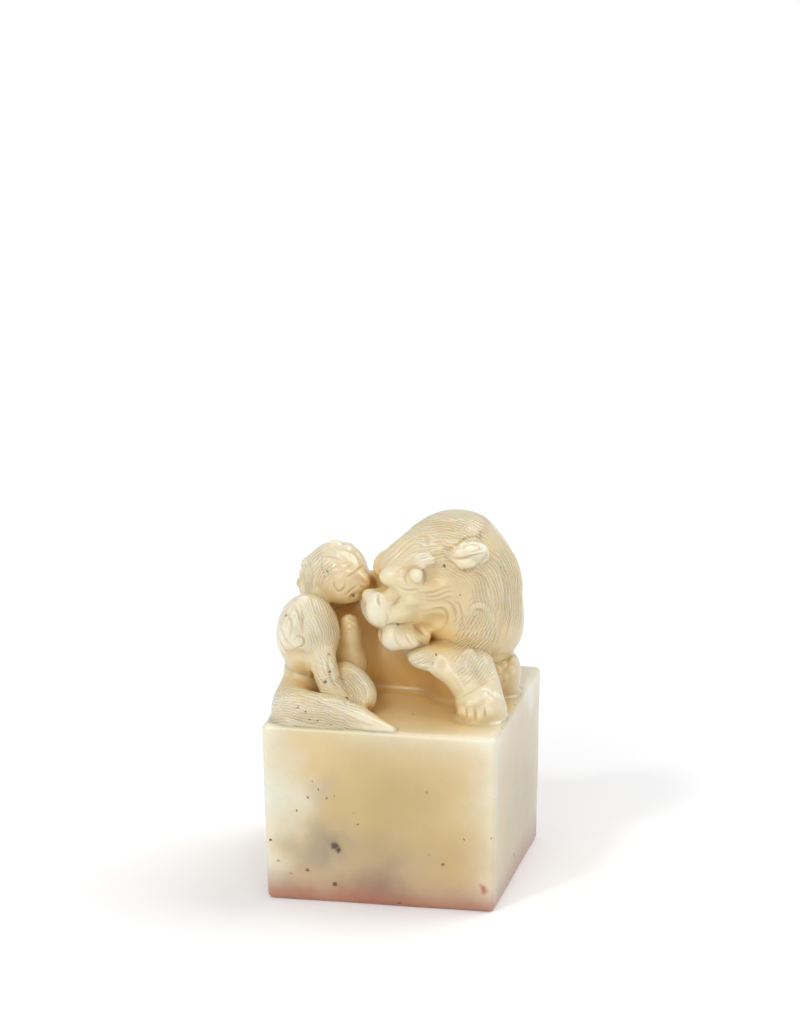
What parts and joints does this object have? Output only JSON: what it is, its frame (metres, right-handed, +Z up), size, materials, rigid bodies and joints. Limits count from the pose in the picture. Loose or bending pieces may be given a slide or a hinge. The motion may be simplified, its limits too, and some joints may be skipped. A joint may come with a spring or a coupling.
{
  "type": "seal stamp",
  "caption": "Square pale stone seal: a tapered block with a lion and her cub carved as its knob, and a plain rosette cut in the printing face.",
  "frame": {"origin": "centre of the printing face, which is the underside of the block", "axes": "+X to the right along the front of the block, +Y to the back, +Z up through the carved knob"},
  "size_m": [0.0366, 0.0366, 0.0566],
  "materials": {
    "polished_stone": "polished, translucent",
    "carved_stone": "hand polished carving"
  },
  "bodies": {
    "root": {"cub_body": "carved_stone", "cub_head": "carved_stone", "cub_left_ear": "carved_stone", "cub_left_foreleg": "carved_stone", "cub_left_thigh": "carved_stone", "cub_right_ear": "carved_stone", "cub_right_foreleg": "carved_stone", "cub_right_thigh": "carved_stone", "cub_snout": "carved_stone", "cub_spine": "carved_stone", "cub_tail": "carved_stone", "mother_chest": "carved_stone", "mother_face": "carved_stone", "mother_flank": "carved_stone", "mother_hock_tuft": "carved_stone", "mother_left_brow": "carved_stone", "mother_left_ear": "carved_stone", "mother_left_eye": "carved_stone", "mother_left_foreleg": "carved_stone", "mother_left_haunch": "carved_stone", "mother_left_hind_paw": "carved_stone", "mother_lower_jaw": "carved_stone", "mother_mane": "carved_stone", "mother_muzzle": "carved_stone", "mother_nose": "carved_stone", "mother_right_brow": "carved_stone", "mother_right_ear": "carved_stone", "mother_right_eye": "carved_stone", "mother_right_foreleg": "carved_stone", "mother_right_forepaw": "carved_stone", "mother_right_haunch": "carved_stone", "mother_right_hind_leg": "carved_stone", "mother_right_hind_paw": "carved_stone", "mother_right_knee": "carved_stone", "mother_rump": "carved_stone", "mother_spine": "carved_stone", "mother_tail": "carved_stone", "mother_tail_root": "carved_stone", "seal_block": "polished_stone", "seal_face": "polished_stone"}
  },
  "joints": []
}
